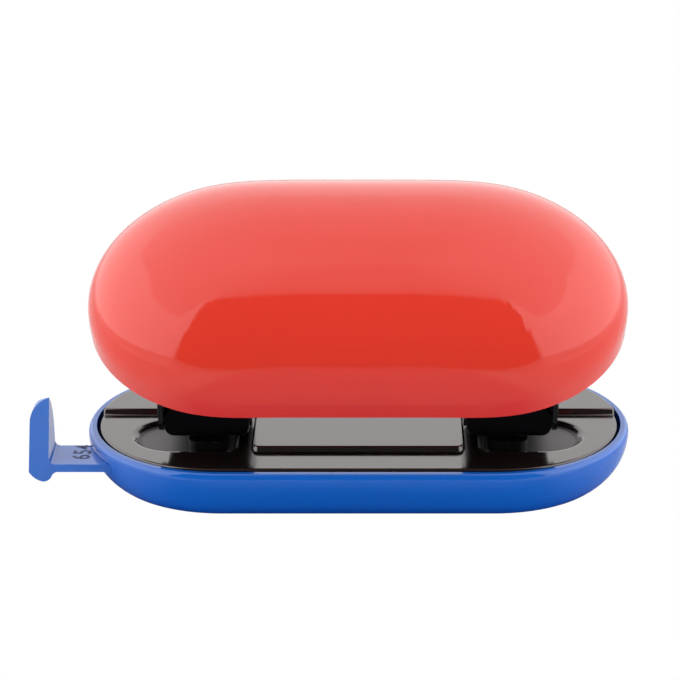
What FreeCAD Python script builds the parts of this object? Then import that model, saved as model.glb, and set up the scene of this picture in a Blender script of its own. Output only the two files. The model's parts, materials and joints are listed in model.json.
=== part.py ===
"""Two-hole desk punch: a domed lever handle over two punch heads on a pressed plate in a tray.

Millimetres and degrees. +X is to the right, +Y away from the side where the paper goes in, +Z up.
The origin is the centre of the tray's underside.
"""
import FreeCAD, Part
import math
import os
import re

import Sketcher

# Driving sizes: name, value, what it is
SIZES = [
    ("hole_spacing", 80.0, "between the two punched holes"),
    ("hole_margin", 12.0, "paper's edge to the hole centres"),
    ("stop_place", 5.5, "depth at which the paper stops"),
    ("pin_radius", 3.0, "punch pin"),
    ("pin_play", 0.05, "running clearance round a punch pin"),
    ("press_gap", 0.15, "pin top to the lever's press rib at rest"),
    ("straight_half", 36.0, "half of the straight side that tray and plate share"),
    ("tray_radius", 37.9, "round end of the tray at its widest"),
    ("tray_height", 13.6, "top of the tray's rim"),
    ("belly_height", 11.8, "height at which the tray is widest"),
    ("foot_inset", 5.9, "how far the tray's side draws in at its foot"),
    ("rim_inset", 1.0, "how far the rim's outer edge draws in"),
    ("tray_wall", 2.2, "tray side"),
    ("tray_floor", 1.8, "tray bottom"),
    ("seat_depth", 3.8, "how far the plate's seats stand in from the wall"),
    ("seat_width", 5.0, "along the wall"),
    ("seat_tall", 5.5, "height of one seat"),
    ("seat_spacing", 30.0, "between seats along a side"),
    ("plate_gap", 2.4, "open gap between plate and tray rim along the sides"),
    ("plate_end_gap", 0.75, "open gap between plate and tray rim at the round ends"),
    ("plate_level", 13.3, "top of the plate's lower level"),
    ("step_rise", 1.5, "from the lower level to the paper table"),
    ("step_place", 4.75, "top edge of the step across the plate"),
    ("step_run", 0.8, "depth of the sloping step"),
    ("step_round", 0.85, "bends at the step's top and foot"),
    ("sheet", 1.2, "plate thickness"),
    ("edge_drop", 2.6, "height of the plate's turned-down edge"),
    ("edge_round", 0.7, "rounding over the plate's edge"),
    ("table_half_width", 28.0, "paper table between the punch heads"),
    ("table_reach", 21.3, "front edge of the paper table"),
    ("table_run", 0.8, "depth of the table's sloping front"),
    ("table_corner", 2.0, "round front corners of the table"),
    ("table_flare", 0.5, "how far the table's sides spread at their foot"),
    ("pocket_radius", 11.5, "round end of the sunk pocket beside a punch head"),
    ("pocket_offset", 9.5, "pocket end centre, outwards of the hole"),
    ("pocket_place", 10.0, "pocket centre line, in front of the middle"),
    ("pocket_depth", 1.5, "below the lower level"),
    ("pocket_slope", 2.2, "run of the pocket's sloping wall"),
    ("pocket_inner", 8.0, "pocket's inner end, inwards of the hole"),
    ("pocket_corner", 3.5, "round inner corners of the pocket"),
    ("chip_radius", 4.2, "hole in the plate for the punched chips"),
    ("die_seat", 0.5, "gap between a die block and the pocket's sloping wall"),
    ("die_corner", 3.0, "round corners of the die block"),
    ("die_play", 0.05, "clearance of a pin in its die"),
    ("die_land", 1.2, "depth of the die's cutting bore"),
    ("die_relief", 0.5, "how much wider the bore is below its land"),
    ("slot_gap", 1.9, "paper slot between table and punch head"),
    ("head_half_width", 11.2, "half the width of a punch head"),
    ("head_front", 27.5, "front of a punch head, in front of the paper stop"),
    ("head_sheet", 1.5, "thickness of the folded punch head"),
    ("head_height", 16.7, "top of the punch head above the paper table"),
    ("head_round", 2.5, "bend of the punch head's long edges"),
    ("lip_rise", 1.4, "flare at the mouth of the paper slot"),
    ("lip_run", 3.5, "depth of that flare"),
    ("nose_height", 7.2, "front wall of the punch head"),
    ("bridge_front", 18.0, "front edge of the upper guide, in front of the paper stop"),
    ("foot_length", 13.0, "riveted foot behind the paper stop"),
    ("rivet_radius", 1.5, "shank of a rivet"),
    ("rivet_play", 0.05, "clearance round a rivet"),
    ("rivet_offset", 6.5, "rivet from the punch head's middle"),
    ("rivet_place", 8.0, "rivets behind the paper stop"),
    ("rivet_head", 2.7, "radius of a rivet head"),
    ("rivet_dome", 1.3, "height of a rivet head"),
    ("pin_below", 0.2, "pin point above the slot's ceiling at rest"),
    ("pin_hollow", 7.0, "radius of the hollow ground across the pin's point"),
    ("pin_hollow_depth", 0.6, "depth of that hollow"),
    ("clip_radius", 4.9, "outside of a retaining clip"),
    ("clip_thick", 0.8, "retaining clip"),
    ("clip_gap", 0.2, "clip below the upper guide at rest"),
    ("groove_depth", 0.6, "groove that holds a clip"),
    ("groove_play", 0.05, "clearance of a clip in its groove"),
    ("clip_mouth", 3.6, "opening of a clip"),
    ("spring_wire", 0.9, "wire of a return spring"),
    ("spring_radius", 4.5, "return spring, to the middle of its wire"),
    ("spring_turns", 5.5, "turns of a return spring"),
    ("spring_play", 0.06, "clearance at each end of a spring"),
    ("pivot_forward", 11.5, "lever pivot in front of the pins"),
    ("pivot_height", 24.5, "lever pivot above the ground"),
    ("pivot_radius", 2.0, "lever pivot pin"),
    ("pivot_play", 0.05, "running clearance of the pivot"),
    ("pivot_slack", 0.1, "end play of the pivot pin"),
    ("pivot_head", 2.8, "radius of the pivot pin's head"),
    ("pivot_head_thick", 0.35, "head of the pivot pin"),
    ("lever_tilt", 22.0, "tilt of lever and cover at rest"),
    ("lever_sheet", 1.2, "thickness of the lever"),
    ("lever_rise", 12.2, "underside of the lever's web above its pivot"),
    ("lever_front", 0.5, "front of the web behind the pivot"),
    ("lever_back", 28.0, "back of the web behind the pivot"),
    ("front_lip", 3.5, "height of the web's front lip"),
    ("back_lip", 6.0, "height of the web's back lip"),
    ("arm_gap", 0.25, "between a lever arm and the punch head"),
    ("arm_radius", 6.0, "round end of a lever arm"),
    ("arm_back", 15.0, "back of a lever arm at the web"),
    ("rib_radius", 2.5, "press rib above a pin"),
    ("rib_place", 14.13, "press rib behind the pivot"),
    ("rib_length", 14.0, "press rib along the lever"),
    ("screw_radius", 1.4, "cover screw"),
    ("screw_play", 0.2, "clearance of a screw in the lever"),
    ("screw_head", 2.8, "head of a cover screw"),
    ("screw_head_thick", 1.7, "head of a cover screw"),
    ("screw_length", 9.0, "cover screw below its head"),
    ("screw_spacing", 36.0, "between the two cover screws"),
    ("screw_place", 17.0, "cover screws behind the pivot"),
    ("screw_bite", 0.02, "clearance of a screw in its boss"),
    ("cover_depth", 0.0, "middle of the cover's rim, away from the middle"),
    ("cover_height", 44.3, "middle of the cover's rim above the ground at rest"),
    ("cover_radius", 40.0, "round end of the cover at its widest"),
    ("cover_straight", 32.35, "half of the cover's straight side"),
    ("cover_flank", 4.8, "height of the cover's widest line above its rim"),
    ("cover_inset", 0.2, "how far the cover draws in to its rim"),
    ("dome_height", 26.7, "ridge above the widest line"),
    ("ridge_half", 16.3, "half of the ridge's level stretch"),
    ("cover_wall", 2.2, "cover"),
    ("boss_radius", 3.6, "screw boss inside the cover"),
    ("brace_thick", 1.8, "ribs that brace a screw boss"),
    ("brace_start", 16.0, "bottom of those ribs above the cover's rim"),
    ("guide_thick", 2.2, "paper guide's strip"),
    ("guide_width", 12.9, "paper guide's strip"),
    ("guide_front", 22.6, "front edge of the strip, in front of the middle"),
    ("guide_top", 10.0, "top of the strip"),
    ("guide_out", 82.2, "stop face of the guide, left of the middle"),
    ("guide_length", 116.0, "strip from its stop face to its end"),
    ("guide_play", 0.2, "clearance round the sliding strip"),
    ("knob_thick", 5.5, "upright stop at the guide's end"),
    ("knob_height", 29.2, "top of the upright stop"),
    ("knob_foot", 5.0, "bottom of the upright stop"),
    ("knob_fillet", 1.6, "bend between strip and stop"),
    ("knob_shoulder", 8.0, "rounding of the stop's far upper edge"),
    ("knob_fall", 18.0, "how far the stop's top falls towards the back"),
    ("knob_bow", 30.0, "radius of that falling top"),
    ("knob_lean", 1.0, "how far the stop leans inwards at its top"),
    ("rail_thick", 1.5, "rails that the guide runs between"),
    ("ledge_width", 1.6, "ledges under the guide"),
    ("rail_left", 56.0, "left end of the rails"),
    ("rail_right", 31.0, "right end of the rails"),
    ("chip_way", 7.0, "half of the gap in the back rail for falling chips"),
]

# Places and sizes that follow from the driving ones
WORKED_OUT = {
    "hole_side": "hole_spacing / 2",
    "hole_depth": "stop_place - hole_margin",
    "belly_curve": "(belly_height * belly_height + foot_inset * foot_inset) / (2 * foot_inset)",
    "rim_tall": "tray_height - belly_height",
    "rim_curve": "(rim_tall * rim_tall + rim_inset * rim_inset) / (2 * rim_inset)",
    "inner_radius": "tray_radius - tray_wall",
    "inner_curve": "belly_curve - tray_wall",
    "inner_drop": "belly_height - tray_floor",
    "inner_foot": "tray_radius - belly_curve + sqrt(pow(inner_curve; 2) - pow(inner_drop; 2))",
    "table_level": "plate_level + step_rise",
    "step_foot": "step_place - step_run",
    "step_slant": "atan(step_rise / step_run)",
    "step_bend": "step_round * tan(step_slant / 2)",
    "bend_run": "step_bend * cos(step_slant)",
    "bend_rise": "step_bend * sin(step_slant)",
    "edge_bottom": "plate_level - edge_drop",
    "plate_radius": "inner_radius - plate_gap",
    "plate_half": "straight_half + plate_gap - plate_end_gap",
    "plate_inner": "plate_radius - sheet",
    "pocket_floor": "plate_level - pocket_depth",
    "die_half_width": "pocket_inner - pocket_slope - die_seat",
    "die_front": "hole_depth + pocket_place + pocket_radius - pocket_slope - die_seat",
    "die_back": "pocket_radius - pocket_slope - die_seat - pocket_place - hole_depth",
    "slot_ceiling": "table_level + slot_gap",
    "head_nose": "stop_place - head_front",
    "head_top": "table_level + head_height",
    "nose_top": "slot_ceiling + lip_rise + nose_height",
    "web_top": "slot_ceiling + head_sheet",
    "bridge_under": "head_top - head_sheet",
    "pivot_depth": "hole_depth - pivot_forward",
    "rib_height": "pivot_height + rib_place * sin(lever_tilt) + lever_rise * cos(lever_tilt)",
    "pin_bottom": "slot_ceiling + pin_below",
    "pin_top": "rib_height - rib_radius - press_gap",
    "clip_under": "bridge_under - clip_gap - clip_thick",
    "lever_top": "lever_rise + lever_sheet",
    "arm_inside": "hole_side + head_half_width + arm_gap",
    "arm_outside": "arm_inside + lever_sheet",
    "cover_from_pivot": "cover_depth - pivot_depth",
    "cover_above_pivot": "cover_height - pivot_height",
    "rim_back": "cover_from_pivot * cos(lever_tilt) + cover_above_pivot * sin(lever_tilt)",
    "rim_rise": "cover_above_pivot * cos(lever_tilt) - cover_from_pivot * sin(lever_tilt)",
    "boss_bottom": "lever_top - rim_rise",
    "boss_place": "screw_place - rim_back",
    "guide_bottom": "guide_top - guide_thick",
    "guide_back": "guide_width - guide_front",
}

# Stations from the middle of the cover to each end of its side curve
CURVE_STEPS = 10

# Digits that settle a share, so that the curve ends on the middle plane
EXACT_DIGITS = 9

# Lengths that differ by less are the same
SAME_LENGTH = 0.01

# Lines along a pressed wall: how far out of its run and how far along its rise each one lies
PRESSED_BEND = [(1.2, 0.0), (0.96, 0.06), (0.72, 0.25), (0.28, 0.75), (0.04, 0.94), (-0.2, 1.0)]

doc = FreeCAD.newDocument("TwoHolePunch")
sheet = doc.addObject("Spreadsheet::Sheet", "Sizes")
for row, (alias, amount, note) in enumerate(SIZES, start=1):
    sheet.set(f"A{row}", alias)
    sheet.set(f"B{row}", str(amount))
    sheet.setAlias(f"B{row}", alias)
    sheet.set(f"C{row}", note)
doc.recompute()
ALIASES = {alias for alias, amount, note in SIZES}


def formula(text):
    """The expression with worked-out names opened up and driving sizes read from the sheet."""
    def opened(match):
        word = match.group(0)
        if word in WORKED_OUT:
            return f"({formula(WORKED_OUT[word])})"
        return f"Sizes.{word}" if word in ALIASES else word
    return re.sub(r"[a-z]+(?:_[a-z]+)*", opened, text)


def value(text):
    """The expression's present value."""
    return float(sheet.evalExpression(formula(text)))


def bind(thing, prop, text):
    """Tie a property to an expression."""
    thing.setExpression(prop, formula(text))


def new_body(label):
    """A body whose label is the name of its node."""
    made = doc.addObject("PartDesign::Body", label)
    made.Label = label
    return made


def origin_plane(body, role):
    """One of the body's own origin planes."""
    return next(flat for flat in body.Origin.OriginFeatures if flat.Role == role)


def new_sketch(body, name, role, lift="0", across="0"):
    """A sketch on an origin plane, lifted along the plane's normal and shifted across it."""
    drawn = body.newObject("Sketcher::SketchObject", name)
    drawn.AttachmentSupport = [(origin_plane(body, role), "")]
    drawn.MapMode = "FlatFace"
    bind(drawn, "AttachmentOffset.Base.z", lift)
    bind(drawn, "AttachmentOffset.Base.x", across)
    return drawn


def dimension(drawn, kind, *where, text):
    """A driving dimension tied to an expression."""
    number = drawn.addConstraint(Sketcher.Constraint(kind, *where, value(text)))
    bind(drawn, f"Constraints[{number}]", text)


def pin_point(drawn, piece, end, x, y):
    """Place one end of a sketch line or arc from the sketch's origin."""
    dimension(drawn, "DistanceX", -1, 1, piece, end, text=x)
    dimension(drawn, "DistanceY", -1, 1, piece, end, text=y)


def draw(drawn, corners):
    """A closed outline. A corner is (x, y), or (x, y, radius) where an arc ends there.

    A positive radius turns anticlockwise, a negative one clockwise.
    """
    spots = [FreeCAD.Vector(value(corner[0]), value(corner[1]), 0) for corner in corners]
    pieces = []
    for number, corner in enumerate(corners):
        start, end = spots[number - 1], spots[number]
        if len(corner) == 2:
            piece = drawn.addGeometry(Part.LineSegment(start, end), False)
            pieces.append((piece, 1, 2))
            continue
        radius = value(corner[2].lstrip("-"))
        turn = -1 if corner[2].startswith("-") else 1
        chord = end.sub(start)
        left = FreeCAD.Vector(-chord.y, chord.x, 0).normalize() * turn
        inset = math.sqrt(max(0.0, radius ** 2 - (chord.Length / 2) ** 2))
        centre = start + chord * 0.5 + left * inset
        first, last = (start, end) if turn > 0 else (end, start)
        opening = math.atan2(first.y - centre.y, first.x - centre.x)
        closing = math.atan2(last.y - centre.y, last.x - centre.x)
        if closing < opening:
            closing += 2 * math.pi
        ring = Part.Circle(centre, FreeCAD.Vector(0, 0, 1), radius)
        piece = drawn.addGeometry(Part.ArcOfCircle(ring, opening, closing), False)
        pieces.append((piece, 1, 2) if turn > 0 else (piece, 2, 1))
    for number, (piece, near, far) in enumerate(pieces):
        following = pieces[(number + 1) % len(pieces)]
        drawn.addConstraint(Sketcher.Constraint("Coincident", piece, far, following[0], following[1]))
        pin_point(drawn, piece, far, corners[number][0], corners[number][1])
        if len(corners[number]) == 3:
            dimension(drawn, "Radius", piece, text=corners[number][2].lstrip("-"))


def draw_circle(drawn, x, y, radius):
    """A circle tied to its centre and radius."""
    centre = FreeCAD.Vector(value(x), value(y), 0)
    ring = Part.Circle(centre, FreeCAD.Vector(0, 0, 1), value(radius))
    piece = drawn.addGeometry(ring, False)
    pin_point(drawn, piece, 3, x, y)
    dimension(drawn, "Radius", piece, text=radius)


def rectangle(left, right, front, back):
    """Corners of a rectangle in a sketch."""
    return [(left, front), (right, front), (right, back), (left, back)]


def stadium(half, radius, shift="0"):
    """Corners of a stadium outline: two straight sides joined by two half circles."""
    out = f"({half}) + ({radius})"
    low = f"({shift}) - ({radius})"
    high = f"({shift}) + ({radius})"
    return [
        (half, low), (out, shift, radius), (half, high, radius),
        (f"-({half})", high), (f"-({out})", shift, radius), (f"-({half})", low, radius),
    ]


def settle(body, feature, before, smaller):
    """Recompute, and make sure that the feature changed the body the right way."""
    body.Tip = feature
    doc.recompute()
    if "Invalid" in feature.State or feature.Shape.isNull():
        raise RuntimeError(f"{body.Label}: {feature.Name} failed")
    if before and (feature.Shape.Volume < before) != smaller:
        raise RuntimeError(f"{body.Label}: {feature.Name} points the wrong way")
    return feature


def present_volume(body):
    """Volume of the body so far, or 0 before its first feature."""
    return body.Tip.Shape.Volume if body.Tip and not body.Tip.Shape.isNull() else 0.0


def feature_on(body, kind, name, drawn, smaller, both_ways=False, backwards=False, length=None, lean=None):
    """A pad, pocket, revolution or groove on a sketch."""
    before = present_volume(body)
    made = body.newObject(f"PartDesign::{kind}", name)
    made.Profile = drawn
    made.Reversed = backwards
    if kind in ("Revolution", "Groove"):
        made.ReferenceAxis = (drawn, ["V_Axis"])
        made.Angle = 360
        return settle(body, made, before, smaller)
    if both_ways:
        made.SideType = "Symmetric"
    if length is None:
        made.Type = "ThroughAll"
    else:
        bind(made, "Length", length)
    if lean is not None:
        bind(made, "TaperAngle", lean)
    return settle(body, made, before, smaller)


def pad(body, name, drawn, length, **more):
    """Raise a sketch into a solid."""
    return feature_on(body, "Pad", name, drawn, False, length=length, **more)


def lofted(body, name, lines, smaller=False):
    """Material added or taken away between outlines at rising or falling levels."""
    before = present_volume(body)
    made = body.newObject(f"PartDesign::{'Subtractive' if smaller else 'Additive'}Loft", name)
    made.Profile = lines[0]
    made.Sections = lines[1:]
    made.Ruled = True
    return settle(body, made, before, smaller)


def pocket(body, name, drawn, length=None, **more):
    """Cut a sketch's outline into the body."""
    return feature_on(body, "Pocket", name, drawn, True, length=length, **more)


def turned(body, name, drawn):
    """Turn a sketch round its upright axis."""
    return feature_on(body, "Revolution", name, drawn, False)


def mirrored(body, name, features, smaller=False, role="YZ_Plane"):
    """Repeat features on the other side of an origin plane."""
    before = present_volume(body)
    made = body.newObject("PartDesign::Mirrored", name)
    made.Originals = features
    made.MirrorPlane = (origin_plane(body, role), [""])
    return settle(body, made, before, smaller)


def rounded(body, name, radius, chosen):
    """Round the edges of the body that the test chooses."""
    base = body.Tip
    edges = [f"Edge{number}" for number, edge in enumerate(base.Shape.Edges, start=1) if chosen(edge)]
    if not edges:
        raise RuntimeError(f"{body.Label}: {name} found no edge")
    made = body.newObject("PartDesign::Fillet", name)
    made.Base = (base, edges)
    bind(made, "Radius", radius)
    return settle(body, made, 0.0, True)


def close_to(one, other):
    """Two lengths that are the same but for rounding."""
    return abs(one - other) < SAME_LENGTH


def runs_along(edge, axis):
    """A straight edge along one axis: 0 for x, 1 for y, 2 for z."""
    if not isinstance(edge.Curve, Part.Line):
        return False
    return close_to(abs(edge.Curve.Direction[axis]), 1.0)


def flat_at(edge, height):
    """An edge that lies wholly at one height."""
    return close_to(edge.BoundBox.ZMin, height) and close_to(edge.BoundBox.ZMax, height)


def both_halves(half):
    """A whole section from its right half, which starts and ends on the axis."""
    right = half[1:-1]
    left = []
    for number in range(len(right) - 1, -1, -1):
        x, y = right[number][0], right[number][1]
        after = right[number + 1] if number + 1 < len(right) else None
        bend = after[2:] if after and len(after) == 3 else ()
        left.append((f"-({x})", y) + tuple(bend))
    return right + left


def pill(body, name, half, cut=False):
    """A pill shape from its half section: a straight middle and two turned ends."""
    middle = new_sketch(body, f"{name}_middle_outline", "YZ_Plane")
    draw(middle, both_halves(half))
    end = new_sketch(body, f"{name}_end_outline", "XZ_Plane", across="straight_half")
    draw(end, half)
    length = "2 * straight_half"
    if cut:
        pocket(body, f"{name}_middle", middle, length, both_ways=True)
        one = feature_on(body, "Groove", f"{name}_end", end, True)
    else:
        pad(body, f"{name}_middle", middle, length, both_ways=True)
        one = turned(body, f"{name}_end", end)
    mirrored(body, f"{name}_other_end", [one], smaller=cut)


def place(thing, x="0", y="0", z="0"):
    """Put a piece at its place in the punch."""
    for letter, text in (("x", x), ("y", y), ("z", z)):
        bind(thing, f"Placement.Base.{letter}", text)


def tilt_at_rest(thing):
    """Lean a piece of the lever back as it stands at rest."""
    thing.Placement = FreeCAD.Placement(thing.Placement.Base, FreeCAD.Rotation(FreeCAD.Vector(1, 0, 0), 1))
    bind(thing, "Placement.Rotation.Angle", "lever_tilt")


def make_tray():
    """The moulded tray that the plate sits in, which also catches the chips."""
    tray = new_body("base_tray")
    rim_outer = "tray_radius - rim_inset"
    pill(tray, "outside", [
        ("0", "0"),
        ("tray_radius - foot_inset", "0"),
        ("tray_radius", "belly_height", "belly_curve"),
        (rim_outer, "tray_height", "rim_curve"),
        ("0", "tray_height"),
    ])
    over = "tray_height + tray_floor"
    pill(tray, "inside", [
        ("0", "tray_floor"),
        ("inner_foot", "tray_floor"),
        ("inner_radius", "belly_height", "inner_curve"),
        ("inner_radius", over),
        ("0", over),
    ], cut=True)

    seats = new_sketch(tray, "seat_outline", "XY_Plane", lift="edge_bottom - seat_tall")
    wall_side = "inner_radius + tray_wall / 4"
    bin_side = "inner_radius - seat_depth"
    for step in (-1, 0, 1):
        left = f"{step} * seat_spacing - seat_width / 2"
        right = f"{step} * seat_spacing + seat_width / 2"
        draw(seats, rectangle(left, right, bin_side, wall_side))
        draw(seats, rectangle(left, right, f"-({wall_side})", f"-({bin_side})"))
    pad(tray, "seats", seats, "seat_tall")

    front_face = "-guide_front - guide_play"
    back_face = "guide_back + guide_play"
    chips_left = "-hole_side - chip_way"
    chips_right = "-hole_side + chip_way"
    stretches = [("-rail_left", chips_left), (chips_right, "rail_right")]
    fences = new_sketch(tray, "fence_outline", "XY_Plane", lift="tray_floor / 2")
    ledges = new_sketch(tray, "ledge_outline", "XY_Plane", lift="tray_floor / 2")
    draw(fences, rectangle("-rail_left", "rail_right", f"{front_face} - rail_thick", front_face))
    draw(ledges, rectangle("-rail_left", "rail_right", front_face, f"{front_face} + ledge_width"))
    for left, right in stretches:
        draw(fences, rectangle(left, right, back_face, f"{back_face} + rail_thick"))
        draw(ledges, rectangle(left, right, f"{back_face} - ledge_width", back_face))
    pad(tray, "fences", fences, "guide_top + guide_play - tray_floor / 2")
    pad(tray, "ledges", ledges, "guide_bottom - guide_play / 2 - tray_floor / 2")

    past_end = "straight_half + tray_radius + tray_wall"
    mouth = new_sketch(tray, "guide_mouth_outline", "YZ_Plane", lift=f"-({past_end})")
    draw(mouth, rectangle(
        front_face, back_face, "guide_bottom - guide_play", "guide_top + guide_play"))
    pocket(tray, "guide_mouth", mouth, f"{past_end} - rail_left", backwards=True)
    return tray


def make_guide():
    """The sliding paper guide: a flat strip with an upright stop at its outer end."""
    guide = new_body("paper_guide")
    side = new_sketch(guide, "side_outline", "XZ_Plane", lift="guide_front")
    inner = "-guide_out"
    outer = "-guide_out - knob_thick"
    draw(side, [
        (f"{inner} + guide_length", "guide_bottom"),
        (f"{inner} + guide_length", "guide_top"),
        (f"{inner} + knob_fillet", "guide_top"),
        (inner, "guide_top + knob_fillet", "-knob_fillet"),
        (f"{inner} + knob_lean", "knob_height"),
        (f"{outer} + knob_lean", "knob_height - knob_shoulder + knob_lean", "knob_shoulder"),
        (outer, "guide_bottom"),
        (f"{inner} - knob_thick / 3", "knob_foot", "knob_thick"),
        (f"{inner} + knob_fillet / 3", "knob_foot + knob_fillet", "knob_fillet * 1.6"),
        (f"{inner} + knob_fillet * 1.3", "guide_bottom", "-knob_fillet * 1.2"),
    ])
    pad(guide, "strip_and_stop", side, "guide_width", backwards=True)

    fall = new_sketch(guide, "fall_outline", "YZ_Plane")
    over = "knob_height + knob_fillet"
    beyond = "guide_back + knob_fillet"
    draw(fall, [
        ("-guide_front", "knob_height"),
        ("guide_back", "knob_height - knob_fall", "-knob_bow"),
        (beyond, "knob_height - knob_fall"),
        (beyond, over),
        ("-guide_front", over),
    ])
    pocket(guide, "fall", fall, both_ways=True)
    return guide


def make_plate():
    """The pressed steel plate: a low front, a raised back and a paper table between the heads."""
    plate = new_body("base_plate")
    outline = new_sketch(plate, "edge_outline", "XY_Plane", lift="edge_bottom")
    draw(outline, stadium("plate_half", "plate_radius"))
    pad(plate, "blank", outline, "table_level - edge_bottom")
    step = new_sketch(plate, "step_profile", "YZ_Plane")
    beyond, over = "-plate_radius - sheet", "table_level + sheet"
    draw(step, [
        ("step_foot - step_bend", "plate_level"),
        ("step_foot + bend_run", "plate_level + bend_rise", "step_round"),
        ("step_place - bend_run", "table_level - bend_rise"),
        ("step_place + step_bend", "table_level", "-step_round"),
        ("step_place + step_bend", over),
        (beyond, over),
        (beyond, "plate_level"),
    ])
    pocket(plate, "step", step, both_ways=True)
    half, reach, low = value("plate_half"), value("plate_radius"), value("plate_level")
    rounded(plate, "rounded_edge", "edge_round", lambda edge: (
        edge.BoundBox.ZMin > low - SAME_LENGTH and outside_stadium(edge, half, reach)))

    lines = []
    for number, (out, up) in enumerate(PRESSED_BEND):
        level = f"plate_level + {up} * step_rise"
        line = new_sketch(plate, f"table_line_{number}", "XY_Plane", lift=level)
        flare = f"{out} * table_flare"
        draw(line, table_corners(
            f"table_half_width + {flare}", f"-table_reach - {out} * table_run", f"table_corner + {flare}"))
        lines.append(line)
    lofted(plate, "paper_table", lines)
    hollow = new_sketch(plate, "hollow_outline", "XY_Plane", lift="edge_bottom")
    draw(hollow, stadium("plate_half", "plate_inner"))
    pocket(plate, "hollow", hollow, "edge_drop - sheet", backwards=True)
    under = new_sketch(plate, "raised_hollow_outline", "XY_Plane", lift="plate_level - sheet")
    inside = "table_half_width - sheet"
    front = "sheet - table_reach"
    back = "(step_place + sheet / 2)"
    chord = f"plate_half + sqrt(pow(plate_inner; 2) - pow({back}; 2))"
    draw(under, [
        (f"-({inside})", front), (inside, front), (inside, back),
        (chord, back), ("plate_half", "plate_inner", "plate_inner"),
        ("-(plate_half)", "plate_inner"), (f"-({chord})", back, "plate_inner"), (f"-({inside})", back),
    ])
    pocket(plate, "raised_hollow", under, "step_rise", backwards=True)

    cup = new_sketch(plate, "cup_outline", "XY_Plane", lift="pocket_floor - sheet")
    draw(cup, pocket_corners("sheet / 2"))
    one_cup = pad(plate, "cup", cup, "pocket_depth + sheet / 2")
    mirrored(plate, "other_cup", [one_cup])
    lines = []
    for number, (out, up) in enumerate(PRESSED_BEND):
        level = f"plate_level - {up} * pocket_depth"
        line = new_sketch(plate, f"pocket_line_{number}", "XY_Plane", lift=level)
        draw(line, pocket_corners(f"({out} - 1) * pocket_slope"))
        lines.append(line)
    one_sink = lofted(plate, "sink", lines, smaller=True)
    mirrored(plate, "other_sink", [one_sink], smaller=True)
    chips = new_sketch(plate, "chip_holes", "XY_Plane")
    rivets = new_sketch(plate, "rivet_holes", "XY_Plane")
    for sign in ("-", ""):
        draw_circle(chips, f"{sign}hole_side", "hole_depth", "chip_radius")
        for other in ("-", "+"):
            draw_circle(rivets, f"{sign}hole_side {other} rivet_offset", "stop_place + rivet_place",
                        "rivet_radius + rivet_play")
    pocket(plate, "chip_ways", chips, both_ways=True)
    pocket(plate, "rivet_ways", rivets, both_ways=True)
    return plate


def table_corners(half, front, corner):
    """Outline of the paper table at one level, with round front corners."""
    back = "step_place + step_round"
    return [
        (f"-({half}) + {corner}", front, corner), (f"{half} - ({corner})", front),
        (half, f"{front} + {corner}", corner), (half, back),
        (f"-({half})", back), (f"-({half})", f"{front} + {corner}"),
    ]


def outside_stadium(edge, half, radius):
    """An edge whose ends and middle lie on a stadium outline."""
    spots = [edge.valueAt(edge.FirstParameter), edge.valueAt(edge.LastParameter)]
    spots.append(edge.valueAt((edge.FirstParameter + edge.LastParameter) / 2))
    for spot in spots:
        along = max(0.0, abs(spot.x) - half)
        if not close_to(math.hypot(along, spot.y), radius):
            return False
    return True


def pocket_corners(wider):
    """Outline of the right pocket at one level, with a half circle outside and round corners inside."""
    radius = f"(pocket_radius + {wider})"
    corner = f"(pocket_corner + {wider})"
    centre = "hole_side + pocket_offset"
    inner = f"hole_side - pocket_inner - {wider}"
    return [
        (f"{inner} + {corner}", f"-pocket_place - {radius}", corner),
        (centre, f"-pocket_place - {radius}"),
        (f"{centre} + {radius}", "-pocket_place", radius),
        (centre, f"-pocket_place + {radius}", radius),
        (f"{inner} + {corner}", f"-pocket_place + {radius}"),
        (inner, f"-pocket_place + {radius} - {corner}", corner),
        (inner, f"-pocket_place - {radius} + {corner}"),
    ]


def make_die(name, side):
    """The hardened block under a punch head, with the hole that the pin cuts into."""
    die = new_body(name)
    block = new_sketch(die, "block_outline", "XY_Plane", lift="pocket_floor")
    draw(block, rectangle("-die_half_width", "die_half_width", "-die_front", "die_back"))
    pad(die, "block", block, "table_level - pocket_floor")
    rounded(die, "corners", "die_corner", lambda edge: runs_along(edge, 2))
    land = new_sketch(die, "land_outline", "XY_Plane", lift="table_level")
    draw_circle(land, "0", "0", "pin_radius + die_play")
    pocket(die, "cutting_bore", land, "table_level - pocket_floor")
    relief = new_sketch(die, "relief_outline", "XY_Plane", lift="pocket_floor")
    draw_circle(relief, "0", "0", "pin_radius + die_play + die_relief")
    pocket(die, "relief_bore", relief, "table_level - pocket_floor - die_land", backwards=True)
    place(die, x=f"{side} * hole_side", y="hole_depth")
    return die


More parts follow.
